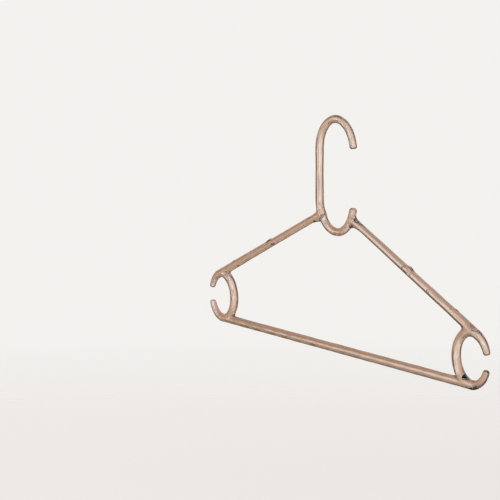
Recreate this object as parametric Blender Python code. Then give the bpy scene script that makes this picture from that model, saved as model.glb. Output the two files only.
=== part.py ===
"""A one-piece moulded clothes hanger: rail hook, cascade hook, two arms, two open end rings and a bar.

Metres, +Z up. The hanger is flat in the XZ plane, its width along X and its rods' thickness along Y.
The origin is the rail seat, under the middle of the main hook's crown, where the hanger hangs.
Members that meet keep a gap of GAP, so that each is a closed body of its own.
"""

import math

import bmesh
import bpy
from mathutils import Vector

# Driving dimensions, metres
RING_SPACING = 0.3858  # between the centres of the two end rings
HOOK_RADIUS = 0.0263  # centreline of both hooks
HOOK_ROD = 0.0071
STEM_LENGTH = 0.0415  # from the main hook's centre to the cascade hook's
RING_RADIUS = 0.0204  # centreline of the end rings
RING_ROD = 0.0075
RING_DROP = 0.1682  # from the rail seat to the ring centres
ARM_ROOT_ROD = 0.0059
ARM_END_ROD = 0.0073
BAR_ROD = 0.0073
HOOK_TIP_ROD = 0.0063  # rod at the free ends of both hooks
JAW_TIP_ROD = 0.0053
TIP_ROUNDING = 0.0022
WEB_THICKNESS = 0.0040
ARM_UPPER_WEB_REACH = 0.0055  # how far a corner web runs along each rod it joins
ARM_LOWER_WEB_REACH = 0.0085
RING_WEB_REACH = 0.0062
WEB_SINK = 0.0010  # how deep a web's outline starts inside the rods, before it is cut clear
WEB_EDGE = 0.0006  # how far above the rods a web's free edge ends
WEB_FILL = 0.40  # how far a web's free edge is drawn out of its corner, 1 being straight across
GAP = 0.0003

# Driving angles, degrees
ARM_FALL = 22.10  # below horizontal, outwards
MAIN_HOOK_TIP = 7.0  # above horizontal, about the main hook's centre
CASCADE_TIP = -9.0  # below horizontal, about the cascade hook's centre
UPPER_JAW_TIP = 15.0  # about the ring's centre, 0 pointing outwards
LOWER_JAW_TIP = -18.0
RING_BOTTOM = 270.0  # about the ring's centre, where the bar touches it
RING_BACK_START = 22.0  # from each tangent point, where the ring's back leaves the rod
HOOK_START = 180.0  # where both hooks leave the stem

# Mesh fineness
SECTION_SIDES = 16
ARC_STEP = 9.0  # degrees
ROD_STEPS = 4  # along an arm or the bar
TIP_STEPS = 4
TIP_CLEARANCE = 1.15  # of the rounding, kept free of other stations before a tip
WEB_STEPS = 6
SHARP_ANGLE = 40.0  # degrees, above which an edge is shaded sharp

COLOUR = (0.86, 0.80, 0.76, 1.0)
ROUGHNESS = 0.08
REFRACTIVE_INDEX = 1.59
TRANSMISSION = 0.9

# Derived places, as (x, z) in the plane of the hanger
MAIN_CENTRE = Vector((0.0, HOOK_ROD / 2 - HOOK_RADIUS))
CASCADE_CENTRE = Vector((0.0, MAIN_CENTRE.y - STEM_LENGTH))
RING_CENTRE = Vector((RING_SPACING / 2, -RING_DROP))
ARM_TANGENT = 90.0 - ARM_FALL  # angle at the ring's centre where the arm touches it
ARM_DIRECTION = Vector((math.cos(math.radians(ARM_FALL)), -math.sin(math.radians(ARM_FALL))))
INWARD = Vector((-1.0, 0.0))
ZERO = Vector((0.0, 0.0))


def polar(centre, radius, degrees):
    """The point at an angle on a circle in the hanger's plane."""
    angle = math.radians(degrees)
    return centre + radius * Vector((math.cos(angle), math.sin(angle)))


def arc(centre, radius, start, end):
    """Points along an arc, ends included."""
    steps = max(2, math.ceil(abs(end - start) / ARC_STEP))
    return [polar(centre, radius, start + (end - start) * i / steps) for i in range(steps + 1)]


def line(start, end, steps=2):
    """Points along a straight run, ends included."""
    return [start.lerp(end, i / steps) for i in range(steps + 1)]


def lengths_along(path):
    """Distance from the start of a path to each of its points."""
    total = [0.0]
    for a, b in zip(path, path[1:]):
        total.append(total[-1] + (b - a).length)
    return total


def trim(path, start=0.0, end=0.0):
    """A path shortened by a distance at either end, along its own first and last runs."""
    first = path[0] + (path[1] - path[0]).normalized() * start
    last = path[-1] + (path[-2] - path[-1]).normalized() * end
    return [first] + path[1:-1] + [last]


def heading(path, i):
    """Direction of a path at one of its points; at an end, as the bend before it leads on."""
    if 0 < i < len(path) - 1:
        return (path[i + 1] - path[i - 1]).normalized()
    a, b, c = path[:3] if i == 0 else path[-1:-4:-1]
    first = (b - a).normalized()
    leading = (first - ((c - b).normalized() - first) / 2).normalized()
    return leading if i == 0 else -leading


def add_tip(path):
    """Stations close to the end of a path, so that its last stretch can be rounded."""
    along = (path[-1] - path[-2]).normalized()
    tip = path[-1]
    kept = [p for p in path[:-1] if (tip - p).dot(along) > TIP_ROUNDING * TIP_CLEARANCE]
    setbacks = [1 - math.sin(math.pi / 2 * i / TIP_STEPS) for i in range(TIP_STEPS + 1)]
    return kept + [tip - along * TIP_ROUNDING * s for s in setbacks]


def material():
    """Clear moulded plastic, a fresh copy for each member."""
    clear = bpy.data.materials.new("clear_plastic")
    clear.use_nodes = True
    shader = clear.node_tree.nodes["Principled BSDF"]
    shader.inputs["Base Color"].default_value = COLOUR
    shader.inputs["Roughness"].default_value = ROUGHNESS
    shader.inputs["Metallic"].default_value = 0.0
    shader.inputs["IOR"].default_value = REFRACTIVE_INDEX
    shader.inputs["Transmission Weight"].default_value = TRANSMISSION
    return clear


def add_object(name, bm, cutter=False):
    """Put a finished mesh in the scene; a cutter only shapes other objects."""
    bmesh.ops.recalc_face_normals(bm, faces=bm.faces[:])
    mesh = bpy.data.meshes.new(name)
    bm.to_mesh(mesh)
    bm.free()
    obj = bpy.data.objects.new(name, mesh)
    bpy.context.scene.collection.objects.link(obj)
    if cutter:
        obj.hide_render = True
        obj.display_type = "WIRE"
        return obj
    mesh.shade_smooth()
    mesh.set_sharp_from_angle(angle=math.radians(SHARP_ANGLE))
    mesh.materials.append(material())
    return obj


def rod_mesh(path, start_rod, end_rod, tip=False, grow=0.0):
    """A round rod swept along a path, its diameter easing from one size to the other."""
    if tip:
        path = add_tip(path)
    bm = bmesh.new()
    travelled = lengths_along(path)
    loops = []
    for i, point in enumerate(path):
        along = heading(path, i)
        across = Vector((-along.y, along.x))
        radius = (start_rod + (end_rod - start_rod) * travelled[i] / travelled[-1]) / 2 + grow
        left = travelled[-1] - travelled[i]
        if tip and left < TIP_ROUNDING:
            missing = TIP_ROUNDING - left
            radius -= TIP_ROUNDING - math.sqrt(max(0.0, TIP_ROUNDING**2 - missing**2))
        loop = []
        for k in range(SECTION_SIDES):
            turn = 2 * math.pi * k / SECTION_SIDES
            flat = point + across * radius * math.cos(turn)
            loop.append(bm.verts.new((flat.x, radius * math.sin(turn), flat.y)))
        loops.append(loop)
    for a, b in zip(loops, loops[1:]):
        for k in range(SECTION_SIDES):
            after = (k + 1) % SECTION_SIDES
            bm.faces.new((a[k], a[after], b[after], b[k]))
    bm.faces.new(loops[0])
    bm.faces.new(loops[-1])
    return bm


def cut_flat(bm, point, normal):
    """Cut away what lies on the normal's side of a plane across the hanger, and close the cut."""
    everything = bm.verts[:] + bm.edges[:] + bm.faces[:]
    result = bmesh.ops.bisect_plane(
        bm,
        geom=everything,
        plane_co=(point.x, 0.0, point.y),
        plane_no=(normal.x, 0.0, normal.y),
        clear_outer=True,
    )
    rim = [item for item in result["geom_cut"] if isinstance(item, bmesh.types.BMEdge)]
    bmesh.ops.holes_fill(bm, edges=rim)


def subtract(obj, cutters):
    """Cut an object clear of its neighbours, given as grown copies of their rods."""
    for cutter in cutters:
        cut = obj.modifiers.new("clear_of_" + cutter.name, "BOOLEAN")
        cut.operation = "DIFFERENCE"
        cut.solver = "EXACT"
        cut.object = cutter


def mirror_bm(bm):
    """Turn a right-hand mesh into its left-hand twin."""
    for vert in bm.verts:
        vert.co.x = -vert.co.x


def side_of(side, point):
    """A right-hand point, or its mirror image on the left."""
    return Vector((-point.x, point.y)) if side == "left" else point


def hook_paths():
    """Centrelines of the main hook, the stem and the cascade hook."""
    top = Vector((-HOOK_RADIUS, MAIN_CENTRE.y))
    foot = Vector((-HOOK_RADIUS, CASCADE_CENTRE.y))
    return {
        "main_hook": arc(MAIN_CENTRE, HOOK_RADIUS, HOOK_START, MAIN_HOOK_TIP),
        "stem": line(top, foot),
        "cascade_hook": arc(CASCADE_CENTRE, HOOK_RADIUS, HOOK_START, 360.0 + CASCADE_TIP),
    }


def build_hooks(paths):
    """The crown over the rail, the stem below it and the upturned cascade hook at its foot."""
    half = GAP / 2
    main = rod_mesh(trim(paths["main_hook"], start=half), HOOK_ROD, HOOK_TIP_ROD, tip=True)
    add_object("main_hook", main)
    add_object("stem", rod_mesh(trim(paths["stem"], half, half), HOOK_ROD, HOOK_ROD))
    cascade = rod_mesh(trim(paths["cascade_hook"], start=half), HOOK_ROD, HOOK_TIP_ROD, tip=True)
    add_object("cascade_hook", cascade)


def cascade_cutter(paths):
    """The stem's foot and the cascade hook, grown by the gap."""
    path = [paths["stem"][0]] + paths["cascade_hook"]
    return add_object("cascade_cutter", rod_mesh(path, HOOK_ROD, HOOK_ROD, grow=GAP), cutter=True)


def build_arm(side, cutter):
    """One sloping shoulder arm, from the cascade hook's rod to where it touches the end ring."""
    touch = polar(RING_CENTRE, RING_RADIUS, ARM_TANGENT)
    path = trim(line(arm_root()[0], touch, ROD_STEPS), end=GAP / 2)
    bm = rod_mesh(path, ARM_ROOT_ROD, ARM_END_ROD)
    if side == "left":
        mirror_bm(bm)
    subtract(add_object(side + "_shoulder_arm", bm), [cutter])


def build_ring(side):
    """One open end ring: its back, and the upper and lower jaws that leave the gap for a strap."""
    half = GAP / 2
    touch = polar(RING_CENTRE, RING_RADIUS, ARM_TANGENT)
    bottom = polar(RING_CENTRE, RING_RADIUS, RING_BOTTOM)
    outward = Vector((-ARM_DIRECTION.y, ARM_DIRECTION.x))
    back = rod_mesh(
        arc(RING_CENTRE, RING_RADIUS, ARM_TANGENT + RING_BACK_START, RING_BOTTOM - RING_BACK_START),
        RING_ROD,
        RING_ROD,
    )
    cut_flat(back, touch - outward * (RING_ROD / 2 + GAP), outward)
    cut_flat(back, bottom + Vector((0.0, RING_ROD / 2 + GAP)), Vector((0.0, -1.0)))
    upper = rod_mesh(
        trim(arc(RING_CENTRE, RING_RADIUS, ARM_TANGENT, UPPER_JAW_TIP), start=half),
        RING_ROD,
        JAW_TIP_ROD,
        tip=True,
    )
    lower = rod_mesh(
        trim(arc(RING_CENTRE, RING_RADIUS, RING_BOTTOM, 360.0 + LOWER_JAW_TIP), start=half),
        RING_ROD,
        JAW_TIP_ROD,
        tip=True,
    )
    for name, bm in (("ring_back", back), ("ring_upper_jaw", upper), ("ring_lower_jaw", lower)):
        if side == "left":
            mirror_bm(bm)
        add_object(side + "_" + name, bm)


def build_bar():
    """The straight trouser bar between the bottoms of the two end rings."""
    right = polar(RING_CENTRE, RING_RADIUS, RING_BOTTOM)
    path = trim(line(side_of("left", right), right, ROD_STEPS), GAP / 2, GAP / 2)
    add_object("trouser_bar", rod_mesh(path, BAR_ROD, BAR_ROD))


def arm_root():
    """Where the right arm's centreline crosses the cascade hook's, and that point's angle."""
    touch = polar(RING_CENTRE, RING_RADIUS, ARM_TANGENT)
    offset = touch - CASCADE_CENTRE
    along = offset.dot(ARM_DIRECTION)
    clear = math.sqrt(max(0.0, HOOK_RADIUS**2 - (offset.length_squared - along**2)))
    point = touch - ARM_DIRECTION * (along - clear)
    from_centre = point - CASCADE_CENTRE
    return point, math.degrees(math.atan2(from_centre.y, from_centre.x))


def arm_web_outline(turn, reach):
    """The corner between the right arm and the cascade hook: above the arm for turn 1, below for -1."""
    point, angle = arm_root()
    radial = polar(ZERO, 1.0, angle)
    along_hook = Vector((-radial.y, radial.x)) * turn
    off_arm = Vector((-ARM_DIRECTION.y, ARM_DIRECTION.x)) * turn
    opening = math.sin(along_hook.angle(ARM_DIRECTION))
    vertex = point + (along_hook * ARM_ROOT_ROD + ARM_DIRECTION * HOOK_ROD) / (2 * opening)
    from_centre = vertex - CASCADE_CENTRE
    vertex_angle = math.degrees(math.atan2(from_centre.y, from_centre.x))
    hook_angle = vertex_angle + turn * math.degrees(reach / HOOK_RADIUS)
    on_hook = polar(CASCADE_CENTRE, HOOK_RADIUS + HOOK_ROD / 2, hook_angle)
    on_arm = vertex + ARM_DIRECTION * reach
    return web_outline(vertex, on_hook, polar(ZERO, 1.0, hook_angle), on_arm, off_arm)


def ring_web_outline(tangent, rod, turn, along):
    """The corner between the right ring's back and a rod that touches it at the tangent angle."""
    outer = RING_RADIUS + RING_ROD / 2
    inner = RING_RADIUS - rod / 2
    angle = tangent + turn * math.degrees(math.acos(inner / outer))
    vertex = polar(RING_CENTRE, outer, angle)
    ring_angle = angle + turn * math.degrees(RING_WEB_REACH / outer)
    on_ring = polar(RING_CENTRE, outer, ring_angle)
    on_rod = vertex + along * RING_WEB_REACH
    return web_outline(vertex, on_ring, polar(ZERO, 1.0, ring_angle), on_rod, -polar(ZERO, 1.0, tangent))


def web_outline(vertex, start, off_start, end, off_end):
    """A corner web between two rods, its points on each and the directions straight off them.

    The corner is sunk into both rods, and the free edge is a hollow curve between them.
    """
    sunk = vertex - (off_start + off_end) * WEB_SINK
    free_start = start + off_start * WEB_EDGE
    free_end = end + off_end * WEB_EDGE
    pull = vertex.lerp((free_start + free_end) / 2, WEB_FILL)
    free_edge = []
    for i in range(WEB_STEPS + 1):
        t = i / WEB_STEPS
        free_edge.append(free_start * (1 - t) ** 2 + pull * 2 * t * (1 - t) + free_end * t**2)
    return [sunk, start - off_start * WEB_SINK] + free_edge + [end - off_end * WEB_SINK]


def build_web(name, side, outline, cutters):
    """A thin web in the corner between two rods, cut clear of both."""
    bm = bmesh.new()
    near = [bm.verts.new((p.x, -WEB_THICKNESS / 2, p.y)) for p in outline]
    face = bm.faces.new(near)
    grown = bmesh.ops.extrude_face_region(bm, geom=[face])
    moved = [item for item in grown["geom"] if isinstance(item, bmesh.types.BMVert)]
    bmesh.ops.translate(bm, verts=moved, vec=(0.0, WEB_THICKNESS, 0.0))
    if side == "left":
        mirror_bm(bm)
    subtract(add_object(side + "_" + name, bm), cutters)


def grown_rod(name, side, path, start_rod, end_rod):
    """A hidden copy of a rod, larger by the gap, that cuts its neighbours clear of it."""
    bm = rod_mesh(path, start_rod, end_rod, grow=GAP)
    if side == "left":
        mirror_bm(bm)
    return add_object(side + "_" + name, bm, cutter=True)


def build_webs(side, hook_cutter):
    """The four corner webs of one side: two at the arm's root and two at the end ring."""
    touch = polar(RING_CENTRE, RING_RADIUS, ARM_TANGENT)
    bottom = polar(RING_CENTRE, RING_RADIUS, RING_BOTTOM)
    middle = Vector((0.0, bottom.y))
    arm = grown_rod("arm_cutter", side, line(arm_root()[0], touch), ARM_ROOT_ROD, ARM_END_ROD)
    back = arc(RING_CENTRE, RING_RADIUS, ARM_TANGENT, RING_BOTTOM)
    ring = grown_rod("ring_cutter", side, back, RING_ROD, RING_ROD)
    bar = grown_rod("bar_cutter", side, line(middle, bottom), BAR_ROD, BAR_ROD)
    build_web("arm_upper_web", side, arm_web_outline(1, ARM_UPPER_WEB_REACH), [hook_cutter, arm])
    build_web("arm_lower_web", side, arm_web_outline(-1, ARM_LOWER_WEB_REACH), [hook_cutter, arm])
    above = ring_web_outline(ARM_TANGENT, ARM_END_ROD, 1, -ARM_DIRECTION)
    below = ring_web_outline(RING_BOTTOM, BAR_ROD, -1, INWARD)
    build_web("ring_upper_web", side, above, [arm, ring])
    build_web("ring_lower_web", side, below, [bar, ring])


def main():
    for obj in list(bpy.data.objects):
        bpy.data.objects.remove(obj, do_unlink=True)
    paths = hook_paths()
    build_hooks(paths)
    cutter = cascade_cutter(paths)
    for side in ("left", "right"):
        build_arm(side, cutter)
        build_ring(side)
        build_webs(side, cutter)
    build_bar()


main()
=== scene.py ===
"""Looks of the clear moulded clothes hanger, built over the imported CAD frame.

The real hanger is one injection moulding, so one seamless piece stands for all the members. Its shape
is a distance field round the members' own centrelines, turned into a fine mesh and then relaxed on to
the field, so that every rod, fillet, web, ridge and nub is real surface. Metres, in the row frame:
X is the hanger's width, Y its thickness and Z up.
"""

import math

import bpy
import numpy as np
from mathutils import Matrix, Vector


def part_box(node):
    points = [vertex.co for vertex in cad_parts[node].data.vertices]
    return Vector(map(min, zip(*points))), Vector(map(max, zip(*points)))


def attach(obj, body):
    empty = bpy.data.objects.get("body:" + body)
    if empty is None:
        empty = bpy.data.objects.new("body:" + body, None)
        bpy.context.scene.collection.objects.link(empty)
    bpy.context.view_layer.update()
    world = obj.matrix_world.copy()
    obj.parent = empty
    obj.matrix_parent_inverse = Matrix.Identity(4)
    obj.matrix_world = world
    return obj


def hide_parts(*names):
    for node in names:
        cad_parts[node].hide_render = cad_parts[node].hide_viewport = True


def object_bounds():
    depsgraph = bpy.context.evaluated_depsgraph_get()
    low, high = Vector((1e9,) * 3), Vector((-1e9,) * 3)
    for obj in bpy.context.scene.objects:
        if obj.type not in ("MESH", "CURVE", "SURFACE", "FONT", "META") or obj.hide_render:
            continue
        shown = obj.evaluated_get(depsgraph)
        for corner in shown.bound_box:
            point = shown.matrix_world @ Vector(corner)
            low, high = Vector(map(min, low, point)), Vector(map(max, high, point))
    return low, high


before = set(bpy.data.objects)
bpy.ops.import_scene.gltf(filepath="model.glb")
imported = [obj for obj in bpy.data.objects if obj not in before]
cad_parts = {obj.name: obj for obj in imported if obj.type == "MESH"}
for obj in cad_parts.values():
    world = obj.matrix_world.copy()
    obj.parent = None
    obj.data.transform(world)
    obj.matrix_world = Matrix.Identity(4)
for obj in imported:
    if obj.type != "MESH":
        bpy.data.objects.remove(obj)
cad_low, cad_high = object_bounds()

# Members, as the CAD makes them
GAP = 0.0003  # left between neighbouring members in the frame
HOOK_TIP_ROD = 0.0063
RING_RADIUS = 0.0204
ARM_ROOT_ROD = 0.0059
ARM_END_ROD = 0.0073
JAW_TIP_ROD = 0.0053
JAW_TAPER_FROM = 0.5  # share of the way from the ring's innermost point to the tip
TIP_ROUNDING = 0.0020
ARM_FALL = math.radians(22.10)
MAIN_HOOK_TIP = math.radians(7.0)
CASCADE_TIP = math.radians(-9.0)
UPPER_JAW_TIP = math.radians(15.0)
LOWER_JAW_TIP = math.radians(-18.0)
HOOK_SPARE = math.radians(14.0)  # that an arc is carried on, before its tip is cut
JAW_SPARE = math.radians(10.0)

# Moulding detail
ROOT_FILLET = 0.0017  # where an arm leaves the cascade hook
RING_FILLET = 0.0012  # where an arm or the bar runs into an end ring
LEAST_FILLET = 0.00006  # where two rods run side by side
WEB_GAIN = 0.9  # more of a fillet in the middle of the thickness, which makes the corner webs
WEB_HALF = 0.0019  # half of a web's thickness
RIDGE_HEIGHT = 0.0045  # of the ridge under an arm's root, which falls away along the arm
RIDGE_LENGTH = 0.024
RIDGE_HALF = 0.0027  # of its thickness
RIDGE_START = 0.0030  # along the arm, where it has come in, still inside the hook

# Slow unevenness of the moulded rods; a wave's lengths are in mm for each radian
WAVE_HEIGHT = 0.00009
LONG_WAVE = (9.1, 7.3)  # along X and Z
LONG_WAVE_PHASES = (0.7, -0.4)
SHORT_WAVE = (3.7, 4.9)  # along X and Z
SHORT_WAVE_PHASE = 1.1
SHORT_WAVE_SHARE = 0.45  # of the long wave's height
CROSS_WAVE = (1.9, 14.0)  # along Y and X
CROSS_WAVE_SHARE = 0.35

# Marks on each arm, placed by the distance from the arm's root
ARM_SIDE = 0.0033  # off the arm's centreline, where a nub or the ridge has its full height
NUBS = ((0.0905, 0.0065, 0.0008), (0.1580, 0.0040, 0.0003))  # place, half length, height
MARK_WALL = 0.0009  # width of a sunk mark's sloping wall
MARK_RISE = 0.0009  # above the arm's centreline
SUNK_MARKS = (  # place, half of the straight part's length, radius, depth
    (0.0910, 0.0050, 0.0013, 0.00075),
    (0.1240, 0.0, 0.0013, 0.00060),
)

# Meshing
STEP = 0.00068  # of the grid that the surface is found on
MARGIN = 3 * STEP  # of the grid round the CAD box
SEARCH_REACH = 0.0030  # from the surface in the middle plane, within which the grid is worked out
FAR_VALUE = 0.01  # given to the rest of the grid
LEAST_DEPTH = 0.000001  # of a grid corner that is moved inside
PROBE = 0.00002  # for the field's slope
LEAST_SQUARED_SLOPE = 0.25  # taken for the field where it is flatter still
SETTLE_STEPS = 2  # on to the surface, before and after the evening out
EVENING_ROUNDS = 4
EVENING = 0.6  # of the way to the middle of a point's neighbours


def in_plane(node):
    """A CAD node's box as (lowest x, lowest z), (highest x, highest z) and its thickness."""
    low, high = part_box(node)
    return np.array([low.x, low.z]), np.array([high.x, high.z]), high.y - low.y


stem_low, stem_high, HOOK_ROD = in_plane("stem")
bar_low, bar_high, BAR_ROD = in_plane("trouser_bar")
RING_ROD = in_plane("right_ring_back")[2]
HOOK_RADIUS = -(stem_low[0] + stem_high[0]) / 2
MAIN_CENTRE = np.array([0.0, stem_high[1] + GAP / 2])
CASCADE_CENTRE = np.array([0.0, stem_low[1] - GAP / 2])
BAR_HEIGHT = (bar_low[1] + bar_high[1]) / 2
RING_CENTRE = np.array([bar_high[0] + GAP / 2, BAR_HEIGHT + RING_RADIUS])
TOUCH_ANGLE = math.pi / 2 - ARM_FALL
ARM_ALONG = np.array([math.cos(ARM_FALL), -math.sin(ARM_FALL)])
ARM_OFF = np.array([math.sin(ARM_FALL), math.cos(ARM_FALL)])


def polar(centre, radius, angle):
    """The point at an angle on a circle in the hanger's plane."""
    return centre + radius * np.array([math.cos(angle), math.sin(angle)])


ARM_TOUCH = polar(RING_CENTRE, RING_RADIUS, TOUCH_ANGLE)


def arm_root():
    """Where the right arm's centreline crosses the cascade hook's."""
    offset = ARM_TOUCH - CASCADE_CENTRE
    along = offset @ ARM_ALONG
    clear = math.sqrt(max(0.0, HOOK_RADIUS**2 - (offset @ offset - along**2)))
    return ARM_TOUCH - ARM_ALONG * (along - clear)


ARM_ROOT = arm_root()


# Distance field -----------------------------------------------------------------------------------


def from_line(flat, start, end):
    """Offset of each in-plane point from a straight centreline, and how far along it lies, 0 to 1."""
    run = end - start
    share = np.clip((flat - start) @ run / (run @ run), 0.0, 1.0)
    return flat - (start + share[:, None] * run), share


def from_arc(flat, centre, radius, start, end, overshoot):
    """Offset of each in-plane point from an arc, and how far along it lies, 0 to 1.

    The arc's far end is carried on by the overshoot, an angle, for a tip that is cut afterwards.
    """
    turn = 1.0 if end > start else -1.0
    span = abs(end - start)
    reach = span + overshoot
    rel = flat - centre
    past_middle = np.arctan2(rel[:, 1], rel[:, 0]) - (start + turn * reach / 2)
    past_middle = (past_middle + math.pi) % (2 * math.pi) - math.pi
    travelled = np.clip(turn * past_middle, -reach / 2, reach / 2) + reach / 2
    angle = start + turn * travelled
    nearest = centre + radius * np.stack([np.cos(angle), np.sin(angle)], axis=1)
    return flat - nearest, np.clip(travelled / span, 0.0, 1.0)


def rod(offset, depth, share, start_rod, end_rod):
    """Signed distance to a round rod, and the direction straight away from its centreline."""
    away = np.stack([offset[:, 0], depth, offset[:, 1]], axis=1)
    far = np.maximum(np.linalg.norm(away, axis=1), 1e-9)
    return far - (start_rod + (end_rod - start_rod) * share) / 2, away / far[:, None]


def blunt(distance, flat, tip, along):
    """Ends a rod at a flat face across its centreline, with a rounded rim."""
    inside = distance + TIP_ROUNDING
    past = (flat - tip) @ along + TIP_ROUNDING
    corner = np.hypot(np.maximum(inside, 0.0), np.maximum(past, 0.0))
    return np.minimum(np.maximum(inside, past), 0.0) + corner - TIP_ROUNDING


def nearer(one, other):
    """The nearer of two rods that carry on into each other."""
    first = one[0] < other[0]
    return np.where(first, one[0], other[0]), np.where(first[:, None], one[1], other[1])


def filleted(one, other, depth, size):
    """Two rods joined with a soft fillet, less of one the more nearly they run side by side."""
    facing = np.clip(np.einsum("ij,ij->i", one[1], other[1]), -1.0, 1.0)
    apart = np.sqrt((1.0 - facing) / 2)
    web = 1.0 + WEB_GAIN * np.exp(-((depth / WEB_HALF) ** 2))
    soft = LEAST_FILLET + size * apart * web
    least = np.minimum(one[0], other[0])
    return least - soft * np.log1p(np.exp(-np.abs(one[0] - other[0]) / soft))


def hook(flat, depth):
    """The rail hook, the stem and the cascade hook, one rod."""
    top = np.array([-HOOK_RADIUS, MAIN_CENTRE[1]])
    foot = np.array([-HOOK_RADIUS, CASCADE_CENTRE[1]])
    offset, share = from_arc(flat, MAIN_CENTRE, HOOK_RADIUS, math.pi, MAIN_HOOK_TIP, HOOK_SPARE)
    main = rod(offset, depth, share, HOOK_ROD, HOOK_TIP_ROD)
    along = np.array([math.sin(MAIN_HOOK_TIP), -math.cos(MAIN_HOOK_TIP)])
    tip = polar(MAIN_CENTRE, HOOK_RADIUS, MAIN_HOOK_TIP)
    main = (blunt(main[0], flat, tip, along), main[1])
    end = 2 * math.pi + CASCADE_TIP
    offset, share = from_arc(flat, CASCADE_CENTRE, HOOK_RADIUS, math.pi, end, HOOK_SPARE)
    cascade = rod(offset, depth, share, HOOK_ROD, HOOK_TIP_ROD)
    along = np.array([-math.sin(CASCADE_TIP), math.cos(CASCADE_TIP)])
    tip = polar(CASCADE_CENTRE, HOOK_RADIUS, CASCADE_TIP)
    cascade = (blunt(cascade[0], flat, tip, along), cascade[1])
    offset, share = from_line(flat, top, foot)
    return nearer(nearer(main, cascade), rod(offset, depth, share, HOOK_ROD, HOOK_ROD))


def jaw(flat, depth, start, end):
    """Half an end ring, from its innermost point round to the tip of one jaw."""
    turn = 1.0 if end > start else -1.0
    offset, share = from_arc(flat, RING_CENTRE, RING_RADIUS, start, end, JAW_SPARE)
    taper = np.clip((share - JAW_TAPER_FROM) / (1.0 - JAW_TAPER_FROM), 0.0, 1.0)
    distance, away = rod(offset, depth, taper, RING_ROD, JAW_TIP_ROD)
    along = turn * np.array([-math.sin(end), math.cos(end)])
    return blunt(distance, flat, polar(RING_CENTRE, RING_RADIUS, end), along), away


def ring(flat, depth):
    """An open end ring."""
    upper = jaw(flat, depth, math.pi, UPPER_JAW_TIP)
    lower = jaw(flat, depth, math.pi, 2 * math.pi + LOWER_JAW_TIP)
    return nearer(upper, lower)


def eased(share):
    """A share from 0 to 1, clipped and eased at both ends."""
    share = np.clip(share, 0.0, 1.0)
    return share * share * (3.0 - 2.0 * share)


def with_marks(distance, flat, depth):
    """An arm's own detail: the ridge under its root, nubs on top and sunk marks in its front face."""
    along = (flat - ARM_ROOT) @ ARM_ALONG
    off = (flat - ARM_ROOT) @ ARM_OFF
    ridge = RIDGE_HEIGHT * np.clip(1.0 - along / RIDGE_LENGTH, 0.0, 1.0) ** 2
    ridge = ridge * eased(along / RIDGE_START) * np.exp(-((depth / RIDGE_HALF) ** 2))
    distance = distance - ridge * eased(-off / ARM_SIDE)
    for place, half, height in NUBS:
        swell = height * np.clip(1.0 - ((along - place) / half) ** 2, 0.0, 1.0) ** 2
        distance = distance - swell * eased(off / ARM_SIDE)
    front = eased(-depth / MARK_WALL)
    for place, half_length, radius, sink in SUNK_MARKS:
        past = np.maximum(np.abs(along - place) - half_length, 0.0)
        inside = radius - np.hypot(past, off - MARK_RISE)
        distance = distance + sink * front * eased(inside / MARK_WALL + 0.5)
    return distance


def waves(points):
    """The slow unevenness that moulding leaves along the rods."""
    x, y, z = points.T * 1000.0
    first_phase, second_phase = LONG_WAVE_PHASES
    long_wave = np.sin(x / LONG_WAVE[0] + first_phase) * np.cos(z / LONG_WAVE[1] + second_phase)
    short_wave = np.sin(x / SHORT_WAVE[0] + z / SHORT_WAVE[1] + SHORT_WAVE_PHASE) * SHORT_WAVE_SHARE
    cross_wave = np.sin(y / CROSS_WAVE[0] + x / CROSS_WAVE[1]) * CROSS_WAVE_SHARE
    return WAVE_HEIGHT * (long_wave + short_wave + cross_wave)


def field(points):
    """Signed distance from the hanger's surface, negative inside."""
    flat = points[:, [0, 2]]
    depth = points[:, 1]
    right = np.stack([np.abs(flat[:, 0]), flat[:, 1]], axis=1)
    spine = hook(flat, depth)
    offset, share = from_line(right, ARM_ROOT, ARM_TOUCH)
    arm = rod(offset, depth, share, ARM_ROOT_ROD, ARM_END_ROD)
    end_ring = ring(right, depth)
    bar_end = polar(RING_CENTRE, RING_RADIUS, -math.pi / 2)
    offset, share = from_line(right, np.array([0.0, BAR_HEIGHT]), bar_end)
    bar = rod(offset, depth, share, BAR_ROD, BAR_ROD)
    arm_marked = (with_marks(arm[0], right, depth), arm[1])
    joined = filleted(spine, arm_marked, depth, ROOT_FILLET)
    joined = np.minimum(joined, filleted(arm_marked, end_ring, depth, RING_FILLET))
    joined = np.minimum(joined, filleted(bar, end_ring, depth, RING_FILLET))
    return joined - waves(points)


def slope(points):
    """The field's gradient, from four probes round each point."""
    total = np.zeros_like(points)
    for corner in ((1, 1, 1), (1, -1, -1), (-1, 1, -1), (-1, -1, 1)):
        probe = np.array(corner, float)
        total += field(points + probe * PROBE)[:, None] * probe
    return total / (4 * PROBE)


# Mesh ---------------------------------------------------------------------------------------------


def sample():
    """The field on a grid round the hanger, worked out only near the rods."""
    low = np.array(cad_low) - MARGIN
    high = np.array(cad_high) + MARGIN
    half_layers = math.ceil(high[1] / STEP)
    x = np.arange(low[0], high[0] + STEP, STEP)
    y = (np.arange(2 * half_layers) - half_layers + 0.5) * STEP
    z = np.arange(low[2], high[2] + STEP, STEP)
    sheet_x, sheet_z = np.meshgrid(x, z, indexing="ij")
    middle = np.stack([sheet_x.ravel(), np.zeros(sheet_x.size), sheet_z.ravel()], axis=1)
    near = np.flatnonzero(field(middle) < SEARCH_REACH)
    values = np.full((len(x), len(y), len(z)), FAR_VALUE)
    columns = np.unravel_index(near, sheet_x.shape)
    for j, depth in enumerate(y):
        points = middle[near]
        points[:, 1] = depth
        values[columns[0], j, columns[1]] = field(points)
    return values, np.array([x[0], y[0], z[0]])


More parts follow.
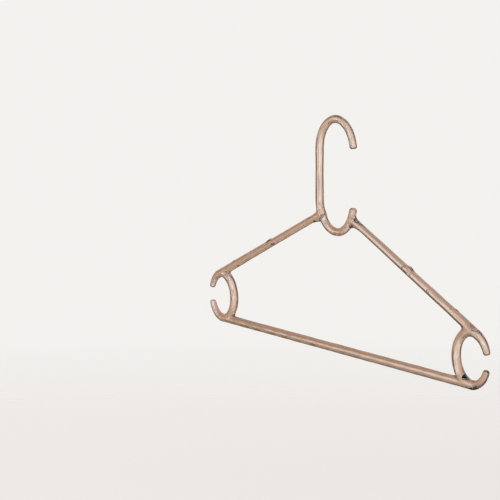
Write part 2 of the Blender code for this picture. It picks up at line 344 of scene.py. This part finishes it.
def close_pinches(values):
    """Fills each grid square whose corners are inside and outside in turn, as it would pinch the mesh."""
    open_squares = True
    while open_squares:
        open_squares = False
        for axis in range(3):
            layers = np.moveaxis(values, axis, 0)
            rows, columns = layers.shape[1] - 1, layers.shape[2] - 1
            corners = [
                layers[:, i : i + rows, j : j + columns] for i, j in ((0, 0), (1, 0), (1, 1), (0, 1))
            ]
            a, b, c, d = (corner < 0 for corner in corners)
            pinched = (a == c) & (b == d) & (a != b)
            for corner in corners:
                corner[pinched & (corner >= 0)] = -LEAST_DEPTH
            open_squares = open_squares or pinched.any()


def crossings(values, axis):
    """The grid edges along an axis that cross the surface: their corners, shares and directions."""
    count = values.shape[axis] - 1
    first = np.take(values, range(count), axis)
    second = np.take(values, range(1, count + 1), axis)
    corners = np.argwhere((first < 0) != (second < 0))
    a = first[tuple(corners.T)]
    b = second[tuple(corners.T)]
    return corners, a / (a - b), a < 0


def surface_net(values, low):
    """Points and quads where the sampled field crosses zero, one point in each crossed cell."""
    shape = np.array(values.shape)
    total = np.zeros((shape.prod(), 3))
    hits = np.zeros(shape.prod())
    strides = np.array([shape[1] * shape[2], shape[2], 1])
    quads = []
    for axis in range(3):
        corners, share, leaving = crossings(values, axis)
        place = corners.astype(float)
        place[:, axis] += share
        second, third = (axis + 1) % 3, (axis + 2) % 3
        cells = []
        for back_second, back_third in ((1, 1), (0, 1), (0, 0), (1, 0)):
            cell = corners.copy()
            cell[:, second] -= back_second
            cell[:, third] -= back_third
            index = cell @ strides
            cells.append(index)
            for k in range(3):
                total[:, k] += np.bincount(index, place[:, k], len(total))
            hits += np.bincount(index, minlength=len(hits))
        quad = np.stack(cells, axis=1)
        quad[~leaving] = quad[~leaving][:, ::-1]
        quads.append(quad)
    used = np.flatnonzero(hits)
    number = np.full(len(hits), -1)
    number[used] = np.arange(len(used))
    points = low + total[used] / hits[used, None] * STEP
    return points, number[np.concatenate(quads)]


def on_surface(points, steps):
    """Points moved straight on to the surface."""
    for _ in range(steps):
        grad = slope(points)
        move = field(points) / np.maximum((grad**2).sum(axis=1), LEAST_SQUARED_SLOPE)
        points = points - np.clip(move, -STEP, STEP)[:, None] * grad
    return points


def relaxed(points, quads, rounds):
    """Points evened out along the surface, each towards the middle of its neighbours."""
    pairs = np.concatenate([quads[:, [i, (i + 1) % 4]] for i in range(4)])
    counts = np.bincount(pairs.ravel(), minlength=len(points))
    for _ in range(rounds):
        middle = np.zeros_like(points)
        for k in range(3):
            middle[:, k] += np.bincount(pairs[:, 0], points[pairs[:, 1], k], len(points))
            middle[:, k] += np.bincount(pairs[:, 1], points[pairs[:, 0], k], len(points))
        points = points * (1.0 - EVENING) + middle / counts[:, None] * EVENING
        points = on_surface(points, 1)
    return points


def moulding_mesh():
    """The hanger's whole surface as one closed mesh, its normals taken from the field."""
    values, low = sample()
    close_pinches(values)
    points, quads = surface_net(values, low)
    points = relaxed(on_surface(points, SETTLE_STEPS), quads, EVENING_ROUNDS)
    points = on_surface(points, SETTLE_STEPS)
    normals = slope(points)
    normals /= np.linalg.norm(normals, axis=1)[:, None]
    mesh = bpy.data.meshes.new("clear_moulding")
    mesh.from_pydata(points.tolist(), [], quads.tolist())
    mesh.shade_smooth()
    mesh.normals_split_custom_set_from_vertices(normals.tolist())
    return mesh


# Material -----------------------------------------------------------------------------------------


class Nodes:
    """A material's or world's node tree, with short calls that add nodes and join them."""

    def __init__(self, owner):
        owner.use_nodes = True
        self.tree = owner.node_tree
        self.tree.nodes.clear()

    def add(self, kind, inputs=None, **settings):
        """A node with its settings and inputs; an input given as a socket is linked."""
        node = self.tree.nodes.new(kind)
        for name, value in settings.items():
            setattr(node, name, value)
        for name, value in (inputs or {}).items():
            if isinstance(value, bpy.types.NodeSocket):
                self.tree.links.new(value, node.inputs[name])
            else:
                node.inputs[name].default_value = value
        return node

    def math(self, operation, *values):
        """The result of a Math node."""
        return self.add("ShaderNodeMath", dict(enumerate(values)), operation=operation).outputs[0]

    def remap(self, value, old_low, old_high, new_low, new_high, smooth=False):
        """A value taken from one range to another and kept inside it."""
        inputs = {0: value, 1: old_low, 2: old_high, 3: new_low, 4: new_high}
        kind = "SMOOTHSTEP" if smooth else "LINEAR"
        return self.add("ShaderNodeMapRange", inputs, interpolation_type=kind).outputs[0]

    def mix(self, share, first, second):
        """Two colours mixed."""
        node = self.add("ShaderNodeMix", data_type="RGBA")
        for socket, value in zip((node.inputs[0], node.inputs[6], node.inputs[7]), (share, first, second)):
            if isinstance(value, bpy.types.NodeSocket):
                self.tree.links.new(value, socket)
            else:
                socket.default_value = value
        return node.outputs[2]

    def noise(self, vector, scale, detail=2.0, roughness=0.5):
        """A noise texture's value."""
        inputs = {"Vector": vector, "Scale": scale, "Detail": detail, "Roughness": roughness}
        return self.add("ShaderNodeTexNoise", inputs).outputs[0]


GRAINY = {"detail": 3.0, "roughness": 0.6}  # settings of the finer-grained noises

CLEAR_TINT = (0.95, 0.90, 0.86, 1.0)
CLOUDED_TINT = (0.90, 0.83, 0.78, 1.0)
# Painted shade: the base colour turns this dark brown at grazing angles, standing in for the dark edges
# that refraction gives
PAINTED_EDGE_SHADE = (0.48, 0.34, 0.245, 1.0)
EDGE_SHADE_BLEND = 0.5  # of the facing value, which is then 0 facing and 1 grazing
EDGE_SHADE_FACING = (0.06, 0.55)  # where the painted edge shade starts and is full
CLOUD_SCALE = 38.0  # of the noises, per metre
HAZE_SCALE = 160.0
FLOW_SCALE = 90.0
FLOW_STRETCH = (1.0, 3.2, 1.4)
CLOUD_RANGE = (0.35, 0.65)  # of a noise, spread over the whole change that it makes
HAZE_RANGE = (0.30, 0.75)
ROUGHNESS = (0.015, 0.060)
REFRACTIVE_INDEX = 1.59
PARTING_LINE = (0.00008, 0.00030)  # off the middle plane, where the line starts to fall and is gone
FLOW_SHARE = 0.60  # of the bump's distance
PARTING_SHARE = 0.30
BUMP_DISTANCE = 0.00012
BUMP_STRENGTH = 0.15


def clear_plastic():
    """Clear moulded styrene: cloudy warm tint, painted shade that turns it dark brown where its surface
    turns from view, faint haze, flow lines and a parting line.
    """
    material = bpy.data.materials.new("clear_plastic")
    n = Nodes(material)
    place = n.add("ShaderNodeTexCoord").outputs["Object"]
    parts = n.add("ShaderNodeSeparateXYZ", {0: place})
    depth = n.math("ABSOLUTE", parts.outputs[1])

    cloud = n.remap(n.noise(place, CLOUD_SCALE), *CLOUD_RANGE, 0.0, 1.0, smooth=True)
    base_colour = n.mix(cloud, CLEAR_TINT, CLOUDED_TINT)
    # Painted shade: the base colour darkens towards the grazing edges, from the Layer Weight facing value
    edge_shade = n.add("ShaderNodeLayerWeight", {"Blend": EDGE_SHADE_BLEND}).outputs["Facing"]
    edge_shade = n.remap(edge_shade, *EDGE_SHADE_FACING, 0.0, 1.0, smooth=True)
    base_colour = n.mix(edge_shade, base_colour, PAINTED_EDGE_SHADE)
    haze = n.noise(place, HAZE_SCALE, **GRAINY)
    roughness = n.remap(haze, *HAZE_RANGE, *ROUGHNESS)

    stretched = n.add("ShaderNodeMapping", {0: place, "Scale": FLOW_STRETCH}).outputs[0]
    flow = n.math("MULTIPLY", n.noise(stretched, FLOW_SCALE), FLOW_SHARE)
    parting = n.remap(depth, *PARTING_LINE, 1.0, 0.0, smooth=True)
    height = n.math("ADD", flow, n.math("MULTIPLY", parting, PARTING_SHARE))
    inputs = {"Strength": BUMP_STRENGTH, "Distance": BUMP_DISTANCE, "Height": height}
    bump = n.add("ShaderNodeBump", inputs)

    shader = n.add(
        "ShaderNodeBsdfPrincipled",
        {
            "Base Color": base_colour,
            "Roughness": roughness,
            "IOR": REFRACTIVE_INDEX,
            "Transmission Weight": 1.0,
            "Normal": bump.outputs[0],
        },
    )
    n.add("ShaderNodeOutputMaterial", {"Surface": shader.outputs[0]})
    return material


def build_moulding():
    """The one piece that stands for every member of the frame."""
    moulding = bpy.data.objects.new("clear_moulding", moulding_mesh())
    bpy.context.scene.collection.objects.link(moulding)
    moulding.data.materials.append(clear_plastic())
    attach(moulding, "root")
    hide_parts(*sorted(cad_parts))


# Studio -------------------------------------------------------------------------------------------

CAMERA_PLACE = Vector((1.5450, -0.9770, 0.1277))
CAMERA_AZIMUTH = math.radians(59.948)
CAMERA_ELEVATION = math.radians(7.27)
CAMERA_ROLL = math.radians(-0.28)
CAMERA_LENS = 159.1  # mm
SENSOR_WIDTH = 36.0  # mm
CAMERA_REACH = 100.0  # that the camera sees

# What the camera sees is pale; what the plastic sees is a warm room with darker stretches
PALE = (0.90, 0.885, 0.865, 1.0)
ON_FLOOR = (0.80, 0.78, 0.76, 1.0)  # light that the background sheds on the floor
FLOOR = (0.80, 0.775, 0.75, 1.0)
FLOOR_IN_PLASTIC = (0.60, 0.445, 0.36, 1.0)  # the floor seen through the plastic
# painted reflection: the floor shows nearly black in the plastic's reflections, which paints a dark band of
# shade along the rods
FLOOR_PAINTED_DARK_IN_REFLECTIONS = (0.10, 0.08, 0.07, 1.0)
ROOM_BRIGHT = (1.05, 0.87, 0.76, 1.0)
ROOM_DARK = (0.088, 0.051, 0.031, 1.0)
ROOM_OVERHEAD = (0.080, 0.065, 0.057, 1.0)
ROOM_LIT = (0.10, 0.62)  # of the lobes and clutter, where the room turns from dark to bright
ROOM_STREAKS = 0.40  # brightness of the room's duller streaks
STREAK_SCALE = 12.0
STREAK_RANGE = (0.40, 0.60)
STREAK_ROUGHNESS = 0.55
STREAK_STRETCH = (1.0, 1.0, 1.6)
CLUTTER_SCALE = 3.2
CLUTTER_RANGE = (0.36, 0.64)
CLUTTER_SWING = 0.30
OVERHEAD_FROM = (0.22, 0.70)  # height of a direction, where the ceiling starts and is full

FLOOR_SIDES = 64
FLOOR_DROP = 0.42  # below the hanger's lowest point
FLOOR_FADE = (0.9, 2.6)  # from the middle, where the floor starts to fade and is gone
FLOOR_RIM = 0.1  # beyond the fade

SOFTBOXES = (  # name, place, size, watts, colour
    ("key", (0.6, -2.0, 1.5), (2.2, 1.5), 24.0, (1.0, 0.98, 0.96)),
    ("fill", (-1.6, -1.4, 0.6), (0.9, 1.8), 10.0, (0.93, 0.95, 1.0)),
    ("back", (-1.0, 1.9, 1.9), (2.6, 1.5), 12.0, (0.96, 0.97, 1.0)),
)
LIGHT_TURNS = 24  # that light may take inside the plastic


def build_floor():
    """A pale floor that fades into the background; to the plastic it shows warmer and darker through, and
    nearly black in reflections, a painted dark reflection.
    """
    mesh = bpy.data.meshes.new("floor")
    reach = FLOOR_FADE[1] + FLOOR_RIM
    height = cad_low.z - FLOOR_DROP
    turns = [2 * math.pi * i / FLOOR_SIDES for i in range(FLOOR_SIDES)]
    rim = [(reach * math.cos(turn), reach * math.sin(turn), height) for turn in turns]
    mesh.from_pydata(rim, [], [list(range(FLOOR_SIDES))])
    floor = bpy.data.objects.new("floor", mesh)
    bpy.context.scene.collection.objects.link(floor)
    material = bpy.data.materials.new("pale_floor")
    n = Nodes(material)
    parts = n.add("ShaderNodeSeparateXYZ", {0: n.add("ShaderNodeTexCoord").outputs["Object"]})
    flat = n.add("ShaderNodeCombineXYZ", {0: parts.outputs[0], 1: parts.outputs[1]}).outputs[0]
    out = n.add("ShaderNodeVectorMath", {0: flat}, operation="LENGTH").outputs["Value"]
    fade = n.remap(out, *FLOOR_FADE, 0.0, 1.0, smooth=True)
    path = n.add("ShaderNodeLightPath")
    seen = n.math("MAXIMUM", path.outputs["Is Camera Ray"], path.outputs["Is Diffuse Ray"])
    # Painted reflection: reflection rays see the floor nearly black, which puts a dark band of shade along
    # the rods
    colour = n.mix(path.outputs["Is Reflection Ray"], FLOOR_IN_PLASTIC, FLOOR_PAINTED_DARK_IN_REFLECTIONS)
    colour = n.mix(seen, colour, FLOOR)
    surface = n.add("ShaderNodeBsdfDiffuse", {"Color": colour})
    clear = n.add("ShaderNodeBsdfTransparent")
    both = n.add("ShaderNodeMixShader", {0: fade, 1: surface.outputs[0], 2: clear.outputs[0]})
    n.add("ShaderNodeOutputMaterial", {"Surface": both.outputs[0]})
    mesh.materials.append(material)


def build_world():
    """Pale to the camera; to the plastic, a warm room with darker stretches between its bright ones."""
    world = bpy.data.worlds.new("studio")
    bpy.context.scene.world = world
    n = Nodes(world)
    way = n.add("ShaderNodeTexCoord").outputs["Generated"]
    parts = n.add("ShaderNodeSeparateXYZ", {0: way})
    flat = n.add("ShaderNodeCombineXYZ", {0: parts.outputs[0], 1: parts.outputs[1]}).outputs[0]
    flat = n.add("ShaderNodeVectorMath", {0: flat}, operation="NORMALIZE").outputs["Vector"]
    ahead = (-math.sin(CAMERA_AZIMUTH), math.cos(CAMERA_AZIMUTH), 0.0)
    facing = n.add("ShaderNodeVectorMath", {0: flat, 1: ahead}, operation="DOT_PRODUCT").outputs["Value"]
    squared = n.math("MULTIPLY", n.math("MULTIPLY", facing, facing), 2.0)
    lobes = n.math("ABSOLUTE", n.math("SUBTRACT", squared, 1.0))
    clutter = n.noise(way, CLUTTER_SCALE, **GRAINY)
    clutter = n.remap(clutter, *CLUTTER_RANGE, -CLUTTER_SWING, CLUTTER_SWING)
    streaks = n.add("ShaderNodeMapping", {0: way, "Scale": STREAK_STRETCH}).outputs[0]
    streaks = n.noise(streaks, STREAK_SCALE, roughness=STREAK_ROUGHNESS)
    streaks = n.remap(streaks, *STREAK_RANGE, ROOM_STREAKS, 1.0, smooth=True)
    bright = n.remap(n.math("ADD", lobes, clutter), *ROOM_LIT, 0.0, 1.0, smooth=True)
    room = n.mix(bright, ROOM_DARK, n.mix(streaks, ROOM_DARK, ROOM_BRIGHT))
    overhead = n.math("ADD", parts.outputs[2], clutter)
    overhead = n.remap(overhead, *OVERHEAD_FROM, 0.0, 1.0, smooth=True)
    room = n.mix(overhead, room, ROOM_OVERHEAD)
    path = n.add("ShaderNodeLightPath")
    colour = n.mix(path.outputs["Is Diffuse Ray"], room, ON_FLOOR)
    colour = n.mix(path.outputs["Is Camera Ray"], colour, PALE)
    background = n.add("ShaderNodeBackground", {"Color": colour, "Strength": 1.0})
    n.add("ShaderNodeOutputWorld", {"Surface": background.outputs[0]})


def add_softbox(name, place, size, power, colour):
    """A soft rectangular lamp turned towards the hanger's middle, seen only in reflections and as light."""
    lamp = bpy.data.lights.new(name, "AREA")
    lamp.shape = "RECTANGLE"
    lamp.size, lamp.size_y = size
    lamp.energy = power
    lamp.color = colour
    obj = bpy.data.objects.new(name, lamp)
    obj.location = place
    middle = (cad_low + cad_high) / 2
    obj.rotation_euler = (middle - Vector(place)).to_track_quat("-Z", "Y").to_euler()
    bpy.context.scene.collection.objects.link(obj)
    obj.visible_camera = False
    obj.visible_transmission = False


def build_lights():
    """Soft studio lamps round the hanger."""
    for softbox in SOFTBOXES:
        add_softbox(*softbox)


def build_camera():
    """The camera, at the side of the hanger and a little above it."""
    data = bpy.data.cameras.new("camera")
    data.sensor_width = SENSOR_WIDTH
    data.lens = CAMERA_LENS
    data.clip_end = CAMERA_REACH
    camera = bpy.data.objects.new("camera", data)
    level = math.cos(CAMERA_ELEVATION)
    forward = Vector((
        -math.sin(CAMERA_AZIMUTH) * level,
        math.cos(CAMERA_AZIMUTH) * level,
        -math.sin(CAMERA_ELEVATION),
    ))
    turn = forward.to_track_quat("-Z", "Y").to_matrix().to_4x4()
    camera.matrix_world = Matrix.Translation(CAMERA_PLACE) @ turn @ Matrix.Rotation(CAMERA_ROLL, 4, "Z")
    bpy.context.scene.collection.objects.link(camera)
    bpy.context.scene.camera = camera
    bpy.context.scene.view_settings.view_transform = "Standard"


def let_light_through():
    """Lets light cross and turn inside the plastic often enough to leave its thick corners clear."""
    cycles = bpy.context.scene.cycles
    cycles.max_bounces = LIGHT_TURNS
    cycles.glossy_bounces = LIGHT_TURNS
    cycles.transmission_bounces = LIGHT_TURNS


build_moulding()
build_floor()
build_world()
build_lights()
build_camera()
let_light_through()
